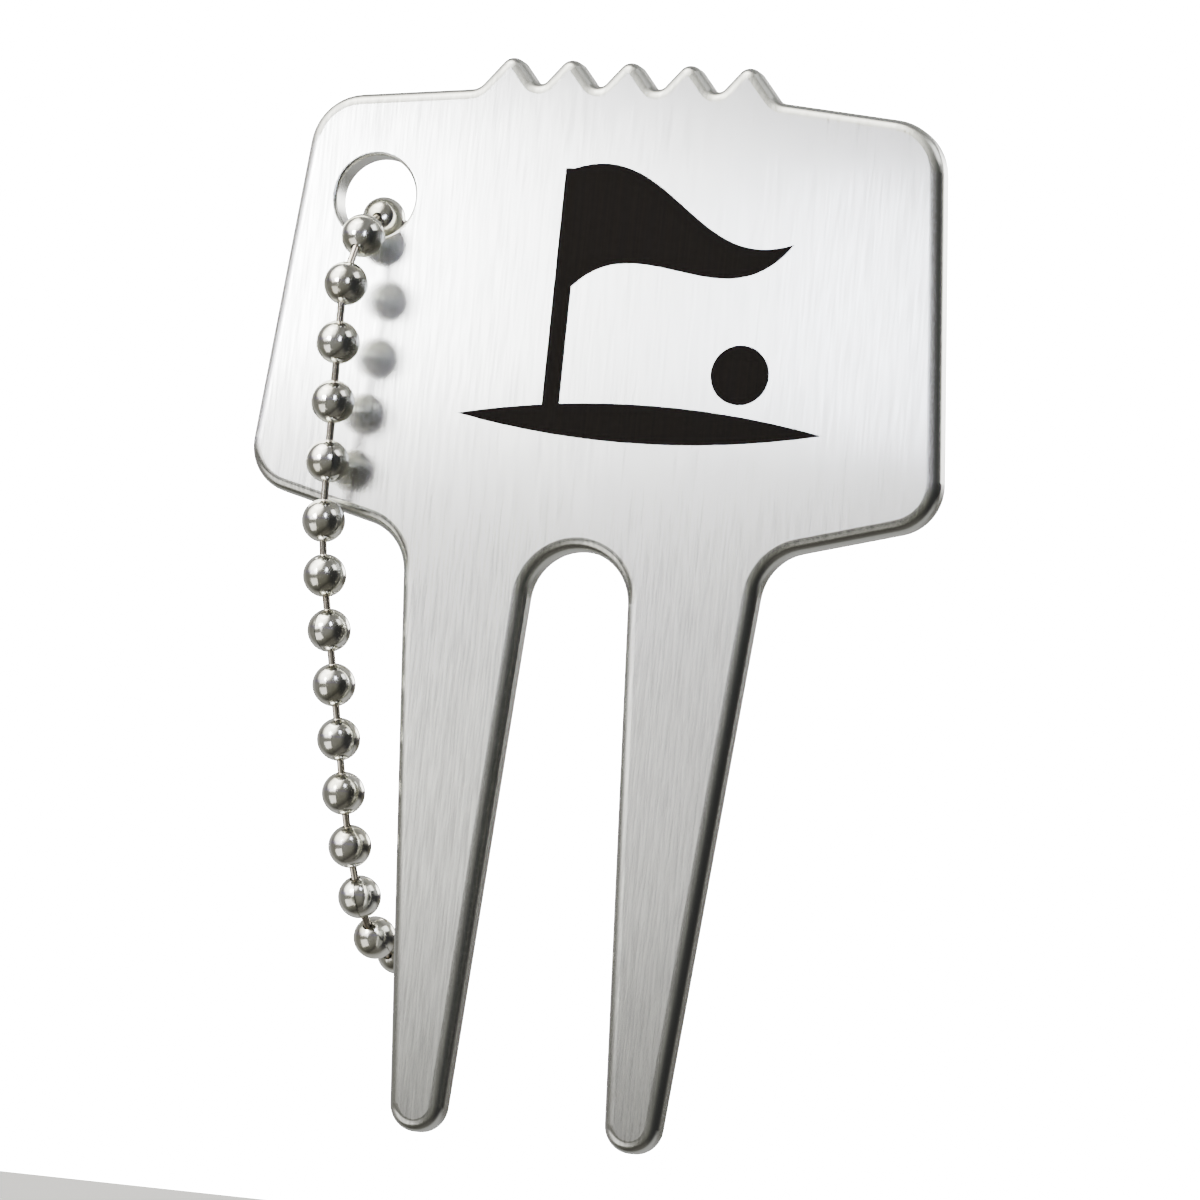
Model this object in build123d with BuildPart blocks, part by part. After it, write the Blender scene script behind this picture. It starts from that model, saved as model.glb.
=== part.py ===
from build123d import *
from math import cos, radians, sin, tan
import os

# A golfer's divot repair tool: a stamped steel plate with two prongs, a row of five teeth
# and a hole, and a closed loop of ball chain through the hole.
# Millimetres. The tool stands upright, prongs down (-Z), printed face towards -Y. X is its
# width. The origin is in the middle of the head and of the sheet, where thumb and finger hold it.
os.makedirs("parts", exist_ok=True)

# ---- plate ----
thickness = 1.8
face_edge_round = 0.7                  # rolled edge round the printed face
back_edge_round = 0.3                  # tumbled edge round the back
rim_round = 0.22                       # the same at the rim of the hole

head_top_half = 18.7                   # the head's four corners before they are rounded
head_top_z = 11.95
head_bottom_half = 20.7
head_bottom_z = -10.5
shoulder_lean = 5.3                    # degrees that the top edge falls from the teeth outwards
lower_lean = 14.5                      # degrees that the lower edge falls towards the prongs
top_corner_round = 3.2
bottom_corner_round = 2.8
prong_root_round = 3.0

tooth_count = 5
tooth_pitch = 3.54
tooth_tip_z = 14.75                    # height of the rounded tips
tooth_flank = 50.0                     # degrees from level
tooth_tip_round = 0.75
tooth_valley_round = 0.45
tooth_base_round = 1.0

prong_tip_x = 6.38                     # centre of the full round at each prong's end
prong_tip_z = -45.25
prong_tip_round = 1.6
prong_outer_lean = 4.85                # degrees that each edge leans from the vertical
prong_inner_lean = 3.46
slot_top_z = -16.35                    # centre of the round at the top of the slot

hole_x = -14.45
hole_z = 6.2
hole_radius = 2.4

# ---- printed emblem: a golf flag, a ball and the ground ----
ink_thickness = 0.04
emblem_x = 2.7                         # middle of the ground line
pole_x = -2.6
pole_width = 1.0
pole_top_z = 8.4
ground_z = -6.0
ground_half = 10.8
ground_sag = 1.1
flag_length = 13.4
flag_drop = 7.4
flag_wave = 0.9
ball_x = 8.4
ball_z = -2.86
ball_radius = 1.7

# ---- ball chain ----
bead_count = 29
bead_radius = 1.25
bead_wall = 0.16
bead_seam = 0.05                       # gap where the rolled strip closes, from pole to pole
seam_turn = 137.5                      # degrees from one bead's seam to the next one's
bead_hole_radius = 0.31
rod_radius = 0.22
rod_head_radius = 0.35
rod_head_span = 2.3                    # between the centres of a link's two heads
upper_intervals = 6                    # from the hole down over the head's face
upper_pitch = 3.40
slack_intervals = 10                   # from there round the bottom, where the beads hang closer
slack_pitch = 3.13
settling_steps = 30                    # turns that the beads take to share their bends
settling_hold = 4                      # weight of a bead's own direction against each link's

# the loop's way through the hole, down the front, round under the prong and up the back
chain_route = [
    (-14.3, 0.5, 5.15),
    (-14.35, -2.35, 3.75),
    (-14.55, -3.9, 0.6),
    (-14.7, -3.75, -2.7),
    (-14.9, -2.9, -8.0),
    (-14.9, -2.3, -13.5),
    (-14.2, -1.5, -19.1),
    (-13.4, -0.2, -25.2),
    (-12.7, 1.6, -31.1),
    (-11.95, 4.7, -35.7),
    (-11.5, 7.7, -36.7),
    (-10.9, 10.35, -35.4),
    (-10.6, 11.6, -32.3),
    (-11.1, 10.0, -22.0),
    (-12.3, 8.3, -12.0),
    (-13.8, 6.6, -1.8),
    (-14.3, 5.9, 1.6),
    (-14.4, 3.95, 4.3),
]

# ---- connector: a stamped sleeve that clasps the chain's two end beads ----
connector_start = 18                   # index of the first of the two beads
connector_radius = 1.6
connector_wall = 0.2
connector_slot = 0.8
connector_mouth_radius = 0.8
open_pivot_gap = 0.4                   # left between the connector and the last link


def lean_out(angle):
    """Sideways run of an edge per unit of height."""
    return tan(radians(angle))


def shoulder_at(x):
    return head_top_z + (head_top_half - x) * lean_out(shoulder_lean)


# each prong's straight edges run into the round at its end, and the inner ones into the slot's
outer_end_x = prong_tip_x + prong_tip_round * cos(radians(prong_outer_lean))
outer_end_z = prong_tip_z - prong_tip_round * sin(radians(prong_outer_lean))
inner_end_x = prong_tip_x - prong_tip_round * cos(radians(prong_inner_lean))
inner_end_z = prong_tip_z - prong_tip_round * sin(radians(prong_inner_lean))


def prong_outer_at(z):
    return outer_end_x + (z - outer_end_z) * lean_out(prong_outer_lean)


def prong_inner_at(z):
    return inner_end_x - (z - inner_end_z) * lean_out(prong_inner_lean)


slot_round = prong_inner_at(slot_top_z) * cos(radians(prong_inner_lean))
slot_side_x = slot_round * cos(radians(prong_inner_lean))
slot_side_z = slot_top_z + slot_round * sin(radians(prong_inner_lean))


# sharp corners of the row of teeth, from which the rounded ones are made
sharpness = 1 / cos(radians(tooth_flank)) - 1
tip_z = tooth_tip_z + tooth_tip_round * sharpness
valley_z = tip_z - tooth_pitch / 2 * lean_out(tooth_flank)
row_half = (tooth_count - 1) / 2 * tooth_pitch
flank_slope = lean_out(tooth_flank)
base_x = (tip_z + row_half * flank_slope - shoulder_at(0)) / (flank_slope - lean_out(shoulder_lean))
base_z = shoulder_at(base_x)

# where the head's lower edge would meet the prong's outer edge
root_run = head_bottom_half - prong_outer_at(head_bottom_z)
root_z = head_bottom_z - root_run / (1 / lean_out(lower_lean) - lean_out(prong_outer_lean))
root_x = prong_outer_at(root_z)

tips = [(index * tooth_pitch - row_half, tip_z) for index in range(tooth_count)]
valleys = [(x + tooth_pitch / 2, valley_z) for x, z in tips[:-1]]
teeth = [tips[0]] + [point for pair in zip(valleys, tips[1:]) for point in pair]
right_side = [
    (base_x, base_z),
    (head_top_half, head_top_z),
    (head_bottom_half, head_bottom_z),
    (root_x, root_z),
    (outer_end_x, outer_end_z),
]
left_side = [(-x, z) for x, z in reversed(right_side)]


def near(vertices, places):
    """The vertices of a sketch that lie at the given places of its plane."""
    return [v for v in vertices if any(abs(v.X - x) + abs(v.Y - z) < 0.01 for x, z in places)]


def both_sides(x, z):
    return [(x, z), (-x, z)]


with BuildPart() as tool_plate:
    with BuildSketch(Plane.XZ) as outline:
        with BuildLine():
            Polyline(*left_side, *teeth, *right_side)
            prong_low_z = prong_tip_z - prong_tip_round
            ThreePointArc(right_side[-1], (prong_tip_x, prong_low_z), (inner_end_x, inner_end_z))
            Line((inner_end_x, inner_end_z), (slot_side_x, slot_side_z))
            slot_peak = (0, slot_top_z + slot_round)
            ThreePointArc((slot_side_x, slot_side_z), slot_peak, (-slot_side_x, slot_side_z))
            Line((-slot_side_x, slot_side_z), (-inner_end_x, inner_end_z))
            ThreePointArc((-inner_end_x, inner_end_z), (-prong_tip_x, prong_low_z), left_side[0])
        make_face()
        with Locations((hole_x, hole_z)):
            Circle(hole_radius, mode=Mode.SUBTRACT)
        fillet(near(outline.vertices(), tips), tooth_tip_round)
        fillet(near(outline.vertices(), valleys), tooth_valley_round)
        fillet(near(outline.vertices(), both_sides(base_x, base_z)), tooth_base_round)
        fillet(near(outline.vertices(), both_sides(head_top_half, head_top_z)), top_corner_round)
        fillet(near(outline.vertices(), both_sides(head_bottom_half, head_bottom_z)), bottom_corner_round)
        fillet(near(outline.vertices(), both_sides(root_x, root_z)), prong_root_round)
    extrude(amount=thickness / 2, both=True)
    rims = tool_plate.edges().filter_by(GeomType.CIRCLE).filter_by(
        lambda edge: abs(edge.radius - hole_radius) < 0.001 and edge.center().X < 0
    )
    fillet(rims, rim_round)
    printed_face = tool_plate.faces().filter_by(Axis.Y).sort_by(Axis.Y)[0]
    fillet(printed_face.outer_wire().edges(), face_edge_round)
    back_face = tool_plate.faces().filter_by(Axis.Y).sort_by(Axis.Y)[-1]
    fillet(back_face.outer_wire().edges(), back_edge_round)

tool_plate.part.label = "tool_plate"
export_step(tool_plate.part, "parts/tool_plate.step")


ink_plane = Plane.XZ.offset(thickness / 2)

with BuildPart() as printed_emblem:
    with BuildSketch(ink_plane):
        with Locations((pole_x, (pole_top_z + ground_z) / 2)):
            Rectangle(pole_width, pole_top_z - ground_z)
        with BuildLine():
            hoist_top = (pole_x, pole_top_z)
            hoist_low = (pole_x, pole_top_z - flag_drop)
            tip = (pole_x + flag_length, pole_top_z - flag_drop / 2)
            upper_swell = (pole_x + flag_length / 3, pole_top_z - flag_drop / 6 + flag_wave)
            upper_dip = (pole_x + flag_length * 2 / 3, pole_top_z - flag_drop / 3 - flag_wave)
            lower_dip = (pole_x + flag_length * 2 / 3, pole_top_z - flag_drop * 2 / 3 - flag_wave)
            lower_swell = (pole_x + flag_length / 3, pole_top_z - flag_drop * 5 / 6 + flag_wave)
            Spline(hoist_top, upper_swell, upper_dip, tip)
            Spline(tip, lower_dip, lower_swell, hoist_low)
            Line(hoist_low, hoist_top)
        make_face()
        with BuildLine():
            ground_left = (emblem_x - ground_half, ground_z)
            ground_right = (emblem_x + ground_half, ground_z)
            ThreePointArc(ground_left, (emblem_x, ground_z + ground_sag), ground_right)
            ThreePointArc(ground_right, (emblem_x, ground_z - ground_sag), ground_left)
        make_face()
        with Locations((ball_x, ball_z)):
            Circle(ball_radius)
    extrude(amount=ink_thickness)

printed_emblem.part.label = "printed_emblem"
export_step(printed_emblem.part, "parts/printed_emblem.step")


# ---- stations of the beads along the loop ----
route = Edge.make_spline([Vector(*point) for point in chain_route], periodic=True)
placed = upper_intervals * upper_pitch + slack_intervals * slack_pitch
taut_intervals = bead_count - upper_intervals - slack_intervals
taut_pitch = (route.length - placed) / taut_intervals
pitches = (
    [upper_pitch] * upper_intervals
    + [slack_pitch] * slack_intervals
    + [taut_pitch] * taut_intervals
)
distances = [sum(pitches[:index]) for index in range(bead_count)]
centres = [route.position_at(distance, position_mode=PositionMode.LENGTH) for distance in distances]
pole = bead_radius - bead_wall / 2     # distance of a bead's two pivots from its centre


def link_line(beads_axes, index):
    """From the pivot where a link leaves one bead to the pivot where it enters the next."""
    following = (index + 1) % bead_count
    start = centres[index] + beads_axes[index] * pole
    end = centres[following] - beads_axes[following] * pole
    return start, end


def settled(beads_axes):
    """The beads' axes, each turned a step nearer to halfway between its two links."""
    lines = [link_line(beads_axes, index) for index in range(bead_count)]
    pulls = [(end - start).normalized() for start, end in lines]
    return [
        (beads_axes[index] * settling_hold + pulls[index - 1] + pulls[index]).normalized()
        for index in range(bead_count)
    ]


axes = [
    (centres[(index + 1) % bead_count] - centres[index - 1]).normalized()
    for index in range(bead_count)
]
for step in range(settling_steps):
    axes = settled(axes)


for index in range(bead_count):
    name = f"bead_{index + 1:02d}"
    with BuildPart(Plane(origin=centres[index], z_dir=axes[index])) as bead:
        Sphere(bead_radius)
        Sphere(bead_radius - bead_wall, mode=Mode.SUBTRACT)
        Cylinder(bead_hole_radius, 2 * bead_radius, mode=Mode.SUBTRACT)
        with Locations(Rotation(0, 0, index * seam_turn) * Pos(bead_radius, 0, 0)):
            Box(2 * bead_radius, bead_seam, 2 * bead_radius, mode=Mode.SUBTRACT)
    bead.part.label = name
    export_step(bead.part, f"parts/{name}.step")


# the last link starts outside the connector: its head inside the clasped bead is left off
clasped = (connector_start, connector_start + 1)
sleeve_axis = (centres[clasped[1]] - centres[clasped[0]]).normalized()

for index in range(bead_count):
    if index == connector_start:
        continue
    start, end = link_line(axes, index)
    direction = (end - start).normalized()
    middle = (start + end) / 2
    name = f"link_{index + 1:02d}"
    with BuildPart(Plane(origin=middle, z_dir=direction)) as link:
        if index == clasped[1]:
            free_end = (connector_radius - pole + open_pivot_gap) - (end - start).length / 2
            with Locations((0, 0, (free_end + rod_head_span / 2) / 2)):
                Cylinder(rod_radius, rod_head_span / 2 - free_end)
            with Locations((0, 0, rod_head_span / 2)):
                Sphere(rod_head_radius)
        else:
            Cylinder(rod_radius, rod_head_span)
            with Locations((0, 0, rod_head_span / 2), (0, 0, -rod_head_span / 2)):
                Sphere(rod_head_radius)
    link.part.label = name
    export_step(link.part, f"parts/{name}.step")


sleeve_length = (centres[clasped[1]] - centres[clasped[0]]).length
cut_length = sleeve_length + 3 * connector_radius
inner_radius = connector_radius - connector_wall
sleeve_middle = (centres[clasped[0]] + centres[clasped[1]]) / 2

with BuildPart(Plane(origin=sleeve_middle, z_dir=sleeve_axis, x_dir=(0, 1, 0))) as connector:
    Cylinder(connector_radius, sleeve_length)
    with Locations((0, 0, sleeve_length / 2), (0, 0, -sleeve_length / 2)):
        Sphere(connector_radius)
    Cylinder(inner_radius, sleeve_length, mode=Mode.SUBTRACT)
    with Locations((0, 0, sleeve_length / 2), (0, 0, -sleeve_length / 2)):
        Sphere(inner_radius, mode=Mode.SUBTRACT)
    Cylinder(connector_mouth_radius, cut_length, mode=Mode.SUBTRACT)
    with Locations((connector_radius, 0, 0)):
        Box(2 * connector_radius, connector_slot, cut_length, mode=Mode.SUBTRACT)

connector.part.label = "connector"
export_step(connector.part, "parts/connector.step")
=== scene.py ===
import math

import bpy
from mathutils import Matrix, Vector

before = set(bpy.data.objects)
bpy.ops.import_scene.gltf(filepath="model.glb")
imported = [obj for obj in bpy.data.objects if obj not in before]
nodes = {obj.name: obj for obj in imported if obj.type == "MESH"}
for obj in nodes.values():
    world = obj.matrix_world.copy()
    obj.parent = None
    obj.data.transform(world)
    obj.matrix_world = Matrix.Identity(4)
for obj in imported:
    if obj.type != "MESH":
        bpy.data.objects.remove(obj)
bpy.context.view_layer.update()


# ---------------------------------------------------------------- helpers

NOISE_ROUGHNESS = 0.55
# sockets of a mix node that is set to colours
MIX_FACTOR, MIX_FIRST, MIX_SECOND, MIX_RESULT = 0, 6, 7, 2


def new_material(name):
    """A material with an empty tree but for its shader and output."""
    material = bpy.data.materials.new(name)
    material.use_nodes = True
    tree = material.node_tree
    tree.nodes.clear()
    shader = tree.nodes.new("ShaderNodeBsdfPrincipled")
    output = tree.nodes.new("ShaderNodeOutputMaterial")
    tree.links.new(shader.outputs["BSDF"], output.inputs["Surface"])
    return material, tree, shader


def put(tree, socket, value):
    """Sets a socket to a number or a colour, or links another node's output to it."""
    if isinstance(value, (int, float)):
        socket.default_value = value
    elif isinstance(value, tuple):
        socket.default_value = (*value, 1.0)
    else:
        tree.links.new(value, socket)


def noise(tree, scale, detail):
    """Noise over the object's own coordinates in metres, stretched by the given factors."""
    place = tree.nodes.new("ShaderNodeTexCoord")
    mapping = tree.nodes.new("ShaderNodeMapping")
    mapping.inputs["Scale"].default_value = scale
    tree.links.new(place.outputs["Object"], mapping.inputs["Vector"])
    texture = tree.nodes.new("ShaderNodeTexNoise")
    texture.inputs["Scale"].default_value = 1.0
    texture.inputs["Detail"].default_value = detail
    texture.inputs["Roughness"].default_value = NOISE_ROUGHNESS
    tree.links.new(mapping.outputs["Vector"], texture.inputs["Vector"])
    return texture.outputs["Fac"]


def split(tree, vector):
    """The X, Y and Z outputs of a vector."""
    node = tree.nodes.new("ShaderNodeSeparateXYZ")
    tree.links.new(vector, node.inputs["Vector"])
    return node.outputs


def remap(tree, value, low_in, high_in, low_out, high_out):
    """Maps a value between two limits onto two others."""
    node = tree.nodes.new("ShaderNodeMapRange")
    node.inputs["From Min"].default_value = low_in
    node.inputs["From Max"].default_value = high_in
    node.inputs["To Min"].default_value = low_out
    node.inputs["To Max"].default_value = high_out
    tree.links.new(value, node.inputs["Value"])
    return node.outputs["Result"]


def ramp(tree, value, stops):
    """A colour ramp with (position, colour) stops."""
    node = tree.nodes.new("ShaderNodeValToRGB")
    elements = node.color_ramp.elements
    while len(elements) < len(stops):
        elements.new(0.5)
    for element, (position, colour) in zip(elements, stops):
        element.position = position
        element.color = (*colour, 1.0)
    tree.links.new(value, node.inputs["Fac"])
    return node.outputs["Color"]


def calculate(tree, kind, first, second=0.0):
    """A sum, a product or the like of two values."""
    node = tree.nodes.new("ShaderNodeMath")
    node.operation = kind
    put(tree, node.inputs[0], first)
    put(tree, node.inputs[1], second)
    return node.outputs["Value"]


def bump(tree, height, strength, distance):
    node = tree.nodes.new("ShaderNodeBump")
    node.inputs["Strength"].default_value = strength
    node.inputs["Distance"].default_value = distance
    tree.links.new(height, node.inputs["Height"])
    return node.outputs["Normal"]


def mix_colour(tree, factor, first, second, kind="MIX"):
    node = tree.nodes.new("ShaderNodeMix")
    node.data_type = "RGBA"
    node.blend_type = kind
    put(tree, node.inputs[MIX_FACTOR], factor)
    put(tree, node.inputs[MIX_FIRST], first)
    put(tree, node.inputs[MIX_SECOND], second)
    return node.outputs[MIX_RESULT]


# ---------------------------------------------------------------- materials

# brushed plate: the grain runs along Z, so it is far finer across than along
FINE_GRAIN = (6500.0, 6500.0, 320.0)
BROAD_GRAIN = (3000.0, 3000.0, 60.0)
BLOTCHES = (90.0, 90.0, 60.0)
FINE_SHARE = 0.8
BROAD_SHARE = 0.2
GRAIN_MIDDLE = 0.5
EDGE_FACING, FACE_FACING = 0.80, 0.97  # how far a normal turns to the front where the grain fades and is full
EDGE_GRAIN = 0.15  # what is left of the grain on the edges
STEEL_DARK = (0.515, 0.52, 0.503)
STEEL_LIGHT = (0.79, 0.80, 0.77)
STEEL_BLOTCH = (0.965, 0.97, 0.95)
STEEL_ROUGH, STEEL_SMOOTH = 0.27, 0.225
STEEL_STRETCH = 0.9  # how far the highlights are drawn out across the grain

INK_GRAIN = (6000.0, 6000.0, 200.0)
INK_DARK = (0.0035, 0.0026, 0.0022)
INK_LIGHT = (0.006, 0.0045, 0.0036)
INK_SHINE = 0.04

BLOOM_SCALE = (700.0, 700.0, 700.0)
PIT_SCALE = (5200.0, 5200.0, 5200.0)


def fade_on_edges(tree, streaks):
    """Weakens the grain where the surface turns away from the plate's two faces."""
    facing = tree.nodes.new("ShaderNodeTexCoord")
    outward = split(tree, facing.outputs["Normal"])
    across = calculate(tree, "ABSOLUTE", outward["Y"])
    share = remap(tree, across, EDGE_FACING, FACE_FACING, EDGE_GRAIN, 1.0)
    centred = calculate(tree, "SUBTRACT", streaks, GRAIN_MIDDLE)
    return calculate(tree, "ADD", calculate(tree, "MULTIPLY", centred, share), GRAIN_MIDDLE)


def brushed_plate():
    """Stainless sheet brushed along the tool, with faint blotches."""
    material, tree, shader = new_material("brushed_stainless")
    fine = noise(tree, FINE_GRAIN, detail=2.0)
    broad = noise(tree, BROAD_GRAIN, detail=3.0)
    blotch = noise(tree, BLOTCHES, detail=4.0)
    streaks = calculate(
        tree,
        "ADD",
        calculate(tree, "MULTIPLY", fine, FINE_SHARE),
        calculate(tree, "MULTIPLY", broad, BROAD_SHARE),
    )
    streaks = fade_on_edges(tree, streaks)
    clean = ramp(tree, streaks, [(0.34, STEEL_DARK), (0.66, STEEL_LIGHT)])
    worn = remap(tree, blotch, 0.35, 0.65, 0.0, 1.0)
    put(tree, shader.inputs["Base Color"], mix_colour(tree, worn, clean, STEEL_BLOTCH, "MULTIPLY"))
    roughness = remap(tree, streaks, 0.35, 0.65, STEEL_ROUGH, STEEL_SMOOTH)
    put(tree, shader.inputs["Roughness"], roughness)
    put(tree, shader.inputs["Normal"], bump(tree, streaks, strength=0.04, distance=0.00002))
    shader.inputs["Metallic"].default_value = 1.0
    shader.inputs["Anisotropic"].default_value = STEEL_STRETCH
    across_grain = tree.nodes.new("ShaderNodeCombineXYZ")
    across_grain.inputs["X"].default_value = 1.0
    put(tree, shader.inputs["Tangent"], across_grain.outputs["Vector"])
    return material


def ink():
    """Satin black screen print, a little uneven where the steel's grain shows through."""
    material, tree, shader = new_material("black_print")
    grain = noise(tree, INK_GRAIN, detail=2.0)
    put(tree, shader.inputs["Base Color"], ramp(tree, grain, [(0.3, INK_DARK), (0.8, INK_LIGHT)]))
    put(tree, shader.inputs["Roughness"], remap(tree, grain, 0.3, 0.7, 0.55, 0.65))
    put(tree, shader.inputs["Normal"], bump(tree, grain, strength=0.1, distance=0.00001))
    shader.inputs["Specular IOR Level"].default_value = INK_SHINE
    return material


def plated(name, bright, tarnish, smooth, rough):
    """Nickel plating with a brownish bloom and small pits."""
    material, tree, shader = new_material(name)
    bloom = noise(tree, BLOOM_SCALE, detail=4.0)
    pits = noise(tree, PIT_SCALE, detail=2.0)
    put(tree, shader.inputs["Base Color"], ramp(tree, bloom, [(0.35, tarnish), (0.6, bright)]))
    put(tree, shader.inputs["Roughness"], remap(tree, bloom, 0.3, 0.7, rough, smooth))
    put(tree, shader.inputs["Normal"], bump(tree, pits, strength=0.16, distance=0.00003))
    shader.inputs["Metallic"].default_value = 1.0
    return material


steel = brushed_plate()
print_black = ink()
bead_plating = plated(
    "nickel_bead", bright=(0.88, 0.88, 0.83), tarnish=(0.62, 0.61, 0.52), smooth=0.12, rough=0.18
)
link_plating = plated(
    "nickel_link", bright=(0.82, 0.77, 0.69), tarnish=(0.60, 0.54, 0.46), smooth=0.18, rough=0.26
)
sleeve_plating = plated(
    "nickel_sleeve", bright=(0.66, 0.65, 0.63), tarnish=(0.52, 0.49, 0.45), smooth=0.18, rough=0.28
)


def material_for(name):
    if name == "tool_plate":
        return steel
    if name == "printed_emblem":
        return print_black
    if name == "connector":
        return sleeve_plating
    return bead_plating if name.startswith("bead") else link_plating


for name, node in nodes.items():
    node.data.materials.clear()
    node.data.materials.append(material_for(name))


# ---------------------------------------------------------------- floor

FLOOR_HALF = 4.0
FLOOR_LEVEL = -0.12


def stage_floor():
    """A plain pale floor, which the metal doesn't mirror."""
    near, far = -FLOOR_HALF, FLOOR_HALF
    corners = [(near, near), (far, near), (far, far), (near, far)]
    mesh = bpy.data.meshes.new("floor")
    mesh.from_pydata([(x, y, FLOOR_LEVEL) for x, y in corners], [], [(0, 1, 2, 3)])
    floor = bpy.data.objects.new("floor", mesh)
    bpy.context.scene.collection.objects.link(floor)
    material, tree, shader = new_material("pale_floor")
    speckle = noise(tree, (40.0, 40.0, 40.0), detail=3.0)
    colour = ramp(tree, speckle, [(0.2, (0.93, 0.93, 0.93)), (0.8, (0.96, 0.96, 0.96))])
    put(tree, shader.inputs["Base Color"], colour)
    shader.inputs["Roughness"].default_value = 0.9
    mesh.materials.append(material)
    floor.visible_glossy = False
    floor.visible_diffuse = False


stage_floor()


# ---------------------------------------------------------------- world

BACKDROP_STRENGTH = 24.0
BRIGHTEST_WAY = (-0.55, -0.55, 0.62)  # high on the left in front of the printed face
ROOM_LEVELS = [
    (0.0, (0.16, 0.155, 0.15)),
    (0.24, (0.14, 0.136, 0.13)),
    (0.30, (0.06, 0.058, 0.054)),
    (0.50, (0.20, 0.20, 0.19)),
    (0.70, (0.25, 0.25, 0.25)),
    (0.86, (0.22, 0.215, 0.215)),
    (0.90, (0.75, 0.74, 0.74)),
    (0.94, (4.0, 3.95, 3.8)),
    (1.0, (9.0, 8.9, 8.6)),
]
TINTED_FROM, TINTED_TO = -0.1, 0.5  # heights of a direction that the tints are spread over
HEIGHT_TINTS = [
    (0.10, (1.0, 0.985, 0.91)),
    (0.25, (0.99, 0.98, 0.92)),
    (0.37, (0.86, 0.78, 1.12)),
    (0.60, (1.0, 0.99, 0.95)),
]
RIGHT_SIDE = (0.035, 0.035, 0.036)
RIGHT_SIDE_SHARE = 0.97
BACK_SIDE = (0.55, 0.545, 0.53)


def room_light(tree, way):
    """What the metal mirrors: a dim room, bright high on the left, dark on the right and grey behind."""
    brightest = tree.nodes.new("ShaderNodeVectorMath")
    brightest.operation = "DOT_PRODUCT"
    brightest.inputs[1].default_value = BRIGHTEST_WAY
    tree.links.new(way, brightest.inputs[0])
    level = remap(tree, brightest.outputs["Value"], -1.0, 1.0, 0.0, 1.0)
    parts = split(tree, way)
    height = remap(tree, parts["Z"], TINTED_FROM, TINTED_TO, 0.0, 1.0)
    levels = ramp(tree, level, ROOM_LEVELS)
    tinted = mix_colour(tree, 1.0, levels, ramp(tree, height, HEIGHT_TINTS), "MULTIPLY")
    to_right = remap(tree, parts["X"], 0.5, 0.8, 0.0, RIGHT_SIDE_SHARE)
    dimmed = mix_colour(tree, to_right, tinted, RIGHT_SIDE)
    # the back is lit except for a level band on its right, which the plate's right edge mirrors
    not_right = remap(tree, parts["X"], 0.0, 0.2, 1.0, 0.0)
    not_level = remap(tree, calculate(tree, "ABSOLUTE", parts["Z"]), 0.15, 0.35, 0.0, 1.0)
    behind = remap(tree, parts["Y"], 0.1, 0.5, 0.0, 1.0)
    to_back = calculate(tree, "MULTIPLY", behind, calculate(tree, "MAXIMUM", not_right, not_level))
    return mix_colour(tree, to_back, dimmed, BACK_SIDE)


def studio_world():
    """White to look at directly, and the dim room for everything else."""
    world = bpy.data.worlds.new("studio")
    bpy.context.scene.world = world
    world.use_nodes = True
    tree = world.node_tree
    tree.nodes.clear()
    output = tree.nodes.new("ShaderNodeOutputWorld")
    white = tree.nodes.new("ShaderNodeBackground")
    white.inputs["Color"].default_value = (1.0, 1.0, 1.0, 1.0)
    white.inputs["Strength"].default_value = BACKDROP_STRENGTH
    room = tree.nodes.new("ShaderNodeBackground")
    place = tree.nodes.new("ShaderNodeTexCoord")
    tree.links.new(room_light(tree, place.outputs["Generated"]), room.inputs["Color"])
    room.inputs["Strength"].default_value = 1.0
    path = tree.nodes.new("ShaderNodeLightPath")
    choose = tree.nodes.new("ShaderNodeMixShader")
    tree.links.new(path.outputs["Is Camera Ray"], choose.inputs["Fac"])
    tree.links.new(room.outputs["Background"], choose.inputs[1])
    tree.links.new(white.outputs["Background"], choose.inputs[2])
    tree.links.new(choose.outputs["Shader"], output.inputs["Surface"])


studio_world()


# ---------------------------------------------------------------- lights

MIDDLE = (0, 0, 0)


def softbox(name, place, aim, size, power, colour, shape="RECTANGLE"):
    """A soft light of a width and a height in metres and a power in watts."""
    data = bpy.data.lights.new(name, "AREA")
    data.shape = shape
    data.size, data.size_y = size
    data.energy = power
    data.color = colour
    light = bpy.data.objects.new(name, data)
    light.location = place
    light.rotation_euler = (Vector(place) - Vector(aim)).to_track_quat("Z", "Y").to_euler()
    light.visible_camera = False
    bpy.context.scene.collection.objects.link(light)


# seen in the head, brightest at its upper left
softbox("key", (-0.1165, -0.174, 0.030), (-0.005, 0, 0), (0.055, 0.04), 0.085, (1.0, 1.0, 1.0))
softbox("panel", (-0.321, -0.383, 0.023), MIDDLE, (0.35, 0.085), 0.23, (1.0, 0.985, 0.94))
softbox(
    "near_left", (-0.0635, -0.0855, 0.0178), (-0.014, 0, 0.003), (0.03, 0.022), 0.075, (0.96, 0.97, 1.0)
)
softbox("high_left", (-0.089, -0.177, 0.0524), (-0.010, 0, 0.004), (0.05, 0.03), 0.006, (1.0, 1.0, 1.0))
softbox("low_left", (-0.27, -0.27, -0.27), MIDDLE, (0.32, 0.25), 0.48, (1.0, 0.97, 0.93))
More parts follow.
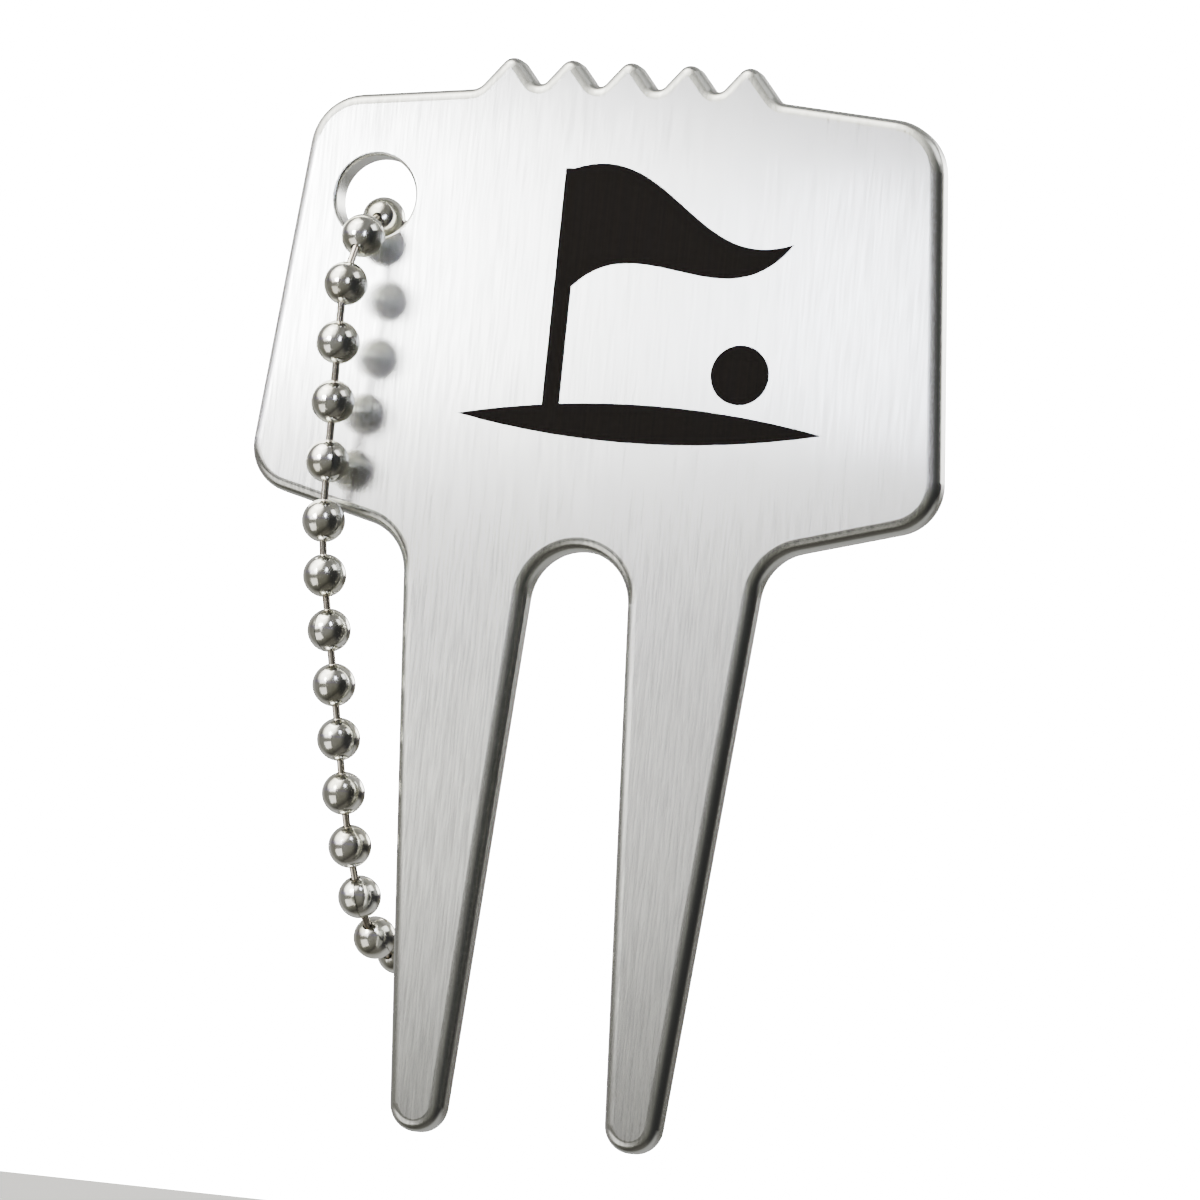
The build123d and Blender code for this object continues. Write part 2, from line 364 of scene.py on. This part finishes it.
# small ones for the bluish patch at the head's right edge and for the prong beside the chain
softbox(
    "right_glare",
    (0.0054, -0.04, 0.0068),
    (0.0165, 0, 0.001),
    (0.011, 0.018),
    0.006,
    (0.80, 0.84, 1.0),
    "ELLIPSE",
)
softbox(
    "left_prong",
    (-0.062, -0.12, -0.0241),
    (-0.012, 0, -0.030),
    (0.012, 0.05),
    0.0042,
    (1.0, 0.99, 0.96),
    "ELLIPSE",
)
# for the back, the right edge and the top
softbox("back_key", (0.13, 0.30, 0.10), MIDDLE, (0.16, 0.12), 0.5, (1.0, 0.99, 0.97))
softbox("right_fill", (0.34, 0.02, 0.30), MIDDLE, (0.3, 0.2), 0.6, (1.0, 1.0, 1.0))
softbox("overhead", (-0.16, -0.1, 0.34), MIDDLE, (0.3, 0.2), 0.8, (1.0, 0.965, 0.88))


# ---------------------------------------------------------------- camera

CAMERA_YAW = math.radians(18.0)  # to the right of straight in front
CAMERA_RISE = math.radians(5.02)  # how far it looks upward
CAMERA_ROLL = math.radians(5.88)
CAMERA_DISTANCE = 0.3425
CAMERA_TARGET = Vector((0.00126, 0.0, -0.016))
CAMERA_LENS = 181.87
SENSOR_WIDTH = 36.0
NEAREST, FARTHEST = 0.01, 20.0


def set_camera():
    level = math.cos(CAMERA_RISE)
    away = Vector(
        (math.sin(CAMERA_YAW) * level, -math.cos(CAMERA_YAW) * level, -math.sin(CAMERA_RISE))
    )
    forward = -away
    right = forward.cross(Vector((0, 0, 1))).normalized()
    up = right.cross(forward)
    turned_right = right * math.cos(CAMERA_ROLL) + up * math.sin(CAMERA_ROLL)
    turned_up = up * math.cos(CAMERA_ROLL) - right * math.sin(CAMERA_ROLL)
    data = bpy.data.cameras.new("camera")
    data.sensor_width = SENSOR_WIDTH
    data.lens = CAMERA_LENS
    data.clip_start = NEAREST
    data.clip_end = FARTHEST
    camera = bpy.data.objects.new("camera", data)
    place = CAMERA_TARGET + away * CAMERA_DISTANCE
    camera.matrix_world = Matrix(
        (
            (turned_right.x, turned_up.x, away.x, place.x),
            (turned_right.y, turned_up.y, away.y, place.y),
            (turned_right.z, turned_up.z, away.z, place.z),
            (0, 0, 0, 1),
        )
    )
    bpy.context.scene.collection.objects.link(camera)
    bpy.context.scene.camera = camera


set_camera()
